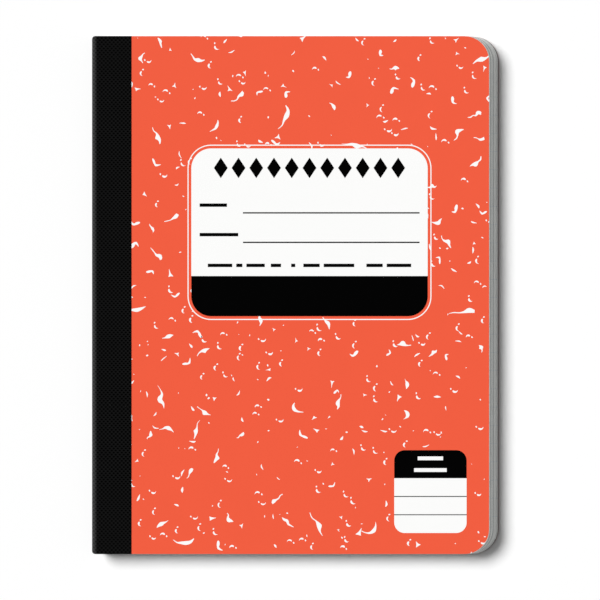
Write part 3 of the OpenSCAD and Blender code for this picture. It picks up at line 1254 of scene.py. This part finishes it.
@dataclass
class Marbling:
    """The white flecks printed on one board, strewn with some room round each."""

    palette: Palette
    outline: Outline
    side: Side
    face: float
    start: float
    covered: list[Box]
    avoided: list[Box]
    seed: int
    per_cm2: float = 1.32
    film: float = 0.02 * MM
    soak: float = 0.01 * MM
    rim: float = 0.7 * MM
    spare: float = 1.4
    cell: float = 9 * MM
    room: float = 0.8
    patience: float = 0.98
    tries: int = 60

    def spots(self, chance: random.Random) -> list[tuple[float, float, Fleck]]:
        """Strew the marks over the board.

        Args:
            chance: Source of chance.

        Returns:
            Places in metres with the kind of mark.
        """
        line = self.outline
        width, length = line.right - self.start, 2 * line.half
        count = round(self.per_cm2 * width * length / CM2)
        kinds = [kind for kind in Fleck for _ in range(round(kind.share * count))]
        kinds.sort(key=lambda kind: -kind.reach)
        grid: dict[tuple[int, int], list[tuple[float, float, Fleck]]] = {}
        found = []
        for kind in kinds:
            for attempt in range(self.tries):
                x = self.start + chance.random() * width
                y = -line.half + chance.random() * length
                column, row = int(x // self.cell), int(y // self.cell)
                cells = [(column + i, row + j) for i in (-1, 0, 1) for j in (-1, 0, 1)]
                near = [mark for spot in cells for mark in grid.get(spot, [])]
                ease = self.room * self.patience ** attempt * MM
                if all(math.dist((x, y), mark[:2]) > (kind.reach + mark[2].reach) * ease for mark in near):
                    grid.setdefault((column, row), []).append((x, y, kind))
                    found.append((x, y, kind))
                    break
        return found

    def hidden(self, x: float, y: float, kind: Fleck) -> bool:
        """Tell whether a mark lies wholly under the label."""
        reach = kind.reach * MM * self.spare
        return any(within(x, y, box, -reach) for box in self.covered)

    def crowds(self, rings: list[list[Point]]) -> bool:
        """Tell whether a mark would come too close to the tag."""
        return any(within(x, y, box, self.rim) for box in self.avoided for ring in rings for x, y in ring)

    def print_fleck(self, bm: bmesh.types.BMesh, ring: list[Point], outward: float) -> None:
        """Add one fleck as a closed film that lies on the board and is soaked a little way into it.

        Args:
            bm: Mesh that receives the fleck.
            ring: Outline of the fleck in metres, anticlockwise.
            outward: 1 on the front and -1 on the back.
        """
        crest = self.face + outward * self.film
        foot = self.face - outward * self.soak
        upper = [bm.verts.new((x, y, crest)) for x, y in ring]
        lower = [bm.verts.new((x, y, foot)) for x, y in ring]
        after = [*range(1, len(ring)), 0]
        faces = [upper, lower[::-1]]
        faces += [[lower[i], lower[j], upper[j], upper[i]] for i, j in enumerate(after)]
        for face in faces:
            bm.faces.new(face if outward > 0 else face[::-1])

    def build(self) -> bpy.types.Object:
        """Print the flecks as a thin film on the board.

        Returns:
            The piece.
        """
        chance = random.Random(self.seed)
        drawer = FleckDrawer(chance)
        edge = self.outline.polygon()
        outward = 1.0 if self.side is Side.FRONT else -1.0
        bm = bmesh.new()
        for x, y, kind in self.spots(chance):
            rings = [[(x + px * MM, y + py * MM) for px, py in shape] for shape in drawer.draw(kind)]
            if self.hidden(x, y, kind) or self.crowds(rings):
                continue
            for shape in rings:
                ring = clip(shape, edge)
                if len(ring) >= 3:
                    self.print_fleck(bm, ring if twice_area(ring) > 0 else ring[::-1], outward)
        bmesh.ops.remove_doubles(bm, verts=bm.verts, dist=TOUCH)
        name = f"{self.side.value}_marbling"
        mesh = settle(bm, name)
        mesh.materials.append(self.palette.white_print.build())
        piece = stand(name, mesh)
        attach(piece, self.side.value)
        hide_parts(f"marbling_{self.side.value}")
        return piece


@dataclass
class CarriedParts:
    """The parts whose CAD shape stays: the label, the tag and the sewing thread."""

    palette: Palette

    def dress(self) -> None:
        """Give each part its finish."""
        look = self.palette
        finishes = {
            "label_border": look.white_print,
            "label_panel": look.white_print,
            "label_band": look.black_print,
            "label_ornament": look.black_print,
            "label_lines": look.line_print,
            "label_captions": look.black_print,
            "tag_panel": look.white_print,
            "tag_head": look.black_print,
            "tag_lines": look.rule_print,
            "tag_captions": look.white_print,
            "binding_thread": look.thread,
        }
        for node, finish in finishes.items():
            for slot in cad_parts[node].material_slots:
                slot.material = finish.build()
            log.info("dressed %s in %s", node, finish.name)


@dataclass
class Studio:
    """The white table, the soft light from the upper left and the slanting camera."""

    plane: float
    centre: Point = (4.79 * MM, -2.35 * MM)
    view_width: float = 286.8 * MM
    distance: float = 4.5
    slant: float = 0.4846
    fill: float = 0.14
    key: float = 0.85
    key_lean: Point = (-0.42, 0.415)
    key_spread: float = 36.5
    sight: float = 50.0
    white: Colour = (1.0, 1.0, 1.0, 1.0)
    table_white: Colour = (0.98, 0.98, 0.98, 1.0)
    table_lift: float = 0.03
    table_reach: float = 12.0
    table_level: float = -0.05 * MM

    def add_camera(self) -> None:
        """Set the camera: it faces the cover squarely and looks along a slant, as in a cabinet drawing."""
        data = bpy.data.cameras.new("camera")
        stretch = math.hypot(1.0, self.slant)
        data.lens = data.sensor_width * self.distance * stretch / self.view_width
        data.clip_end = self.sight
        holder = stand("camera_holder", None)
        camera = stand("camera", data)
        slanting = Matrix.Identity(4)
        slanting[0][2] = self.slant
        camera.parent = holder
        camera.matrix_parent_inverse = slanting
        x = self.centre[0] - self.slant * self.plane
        camera.location = (x, self.centre[1], self.plane + self.distance)
        bpy.context.scene.camera = camera

    def seen(self, bench: NodeBench) -> Socket:
        """Tell rays that show the background itself from rays that carry light.

        Args:
            bench: Bench of the background's material.

        Returns:
            1 for rays that show it, 0 for the others.
        """
        path = bench.put("LightPath").outputs
        direct = bench.sum("MAXIMUM", path["Is Camera Ray"], path["Is Glossy Ray"])
        return bench.sum("MAXIMUM", direct, path["Is Transmission Ray"])

    def add_light(self) -> None:
        """Set the key light and the even fill."""
        lean = Vector((*self.key_lean, 1.0))
        data = bpy.data.lights.new("key", "SUN")
        data.angle = math.radians(self.key_spread)
        data.energy = self.key * math.pi / lean.normalized().z
        stand("key", data).rotation_euler = lean.to_track_quat("Z", "Y").to_euler()
        world = bpy.data.worlds.new("studio")
        bench = clean_bench(world)
        level = bench.spread(self.seen(bench), self.fill, 1.0)
        white = bench.put("Background", {"Color": self.white, "Strength": level})
        bench.put("OutputWorld", {"Surface": white.outputs[0]})
        bpy.context.scene.world = world

    def add_table(self) -> None:
        """Lay the white table, which keeps the notebook's shadow."""
        material = bpy.data.materials.new("white_table")
        bench = clean_bench(material)
        lift = bench.sum("MULTIPLY", self.seen(bench), self.table_lift)
        sockets = {
            "Base Color": self.table_white,
            "Roughness": 1.0,
            "Specular IOR Level": 0.0,
            "Emission Color": self.white,
            "Emission Strength": lift,
        }
        shader = bench.put("BsdfPrincipled", sockets)
        bench.put("OutputMaterial", {"Surface": shader.outputs[0]})
        mesh = bpy.data.meshes.new("table")
        reach = self.table_reach
        spots = ((-reach, -reach), (reach, -reach), (reach, reach), (-reach, reach))
        corners = [(x, y, self.table_level) for x, y in spots]
        mesh.from_pydata(corners, [], [(0, 1, 2, 3)])
        mesh.materials.append(material)
        stand("table", mesh)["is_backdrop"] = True


def main() -> None:
    """Build the notebook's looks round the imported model."""
    logging.basicConfig(level=logging.INFO, format="%(message)s")
    bpy.context.view_layer.update()
    cad_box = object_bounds()
    palette = Palette()
    low, high = cad_box
    outline = Outline(low.x, high.x, high.y)
    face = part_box("front_cover")[1].z
    leaves_low, leaves_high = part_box("page_block")
    cloth_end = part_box("spine_tape_front")[1].x

    studio = Studio(face)
    studio.add_camera()
    studio.add_light()
    studio.add_table()

    board, tape = face - leaves_high.z, high.z - face
    cover = FoldedCover(palette, outline, high.z, board, tape, cloth_end)
    for piece in cover.build():
        log.info("built %s", piece.name)
    leaves = SewnLeaves(palette, outline, leaves_low.z, leaves_high.z, leaves_low.x)
    log.info("built %s", leaves.build().name)
    label = flat_box("label_panel", "label_band")
    tag = flat_box("tag_panel", "tag_head")
    start = cloth_end - UNDER_CLOTH
    front = Marbling(palette, outline, Side.FRONT, face, start, covered=[label], avoided=[tag], seed=11)
    back_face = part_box("back_cover")[0].z
    back = Marbling(palette, outline, Side.BACK, back_face, start, covered=[], avoided=[], seed=29)
    for print_run in (front, back):
        log.info("built %s", print_run.build().name)
    CarriedParts(palette).dress()

    bpy.context.scene.view_settings.view_transform = "Standard"
    bpy.context.view_layer.update()


if __name__ == "__main__":
    main()
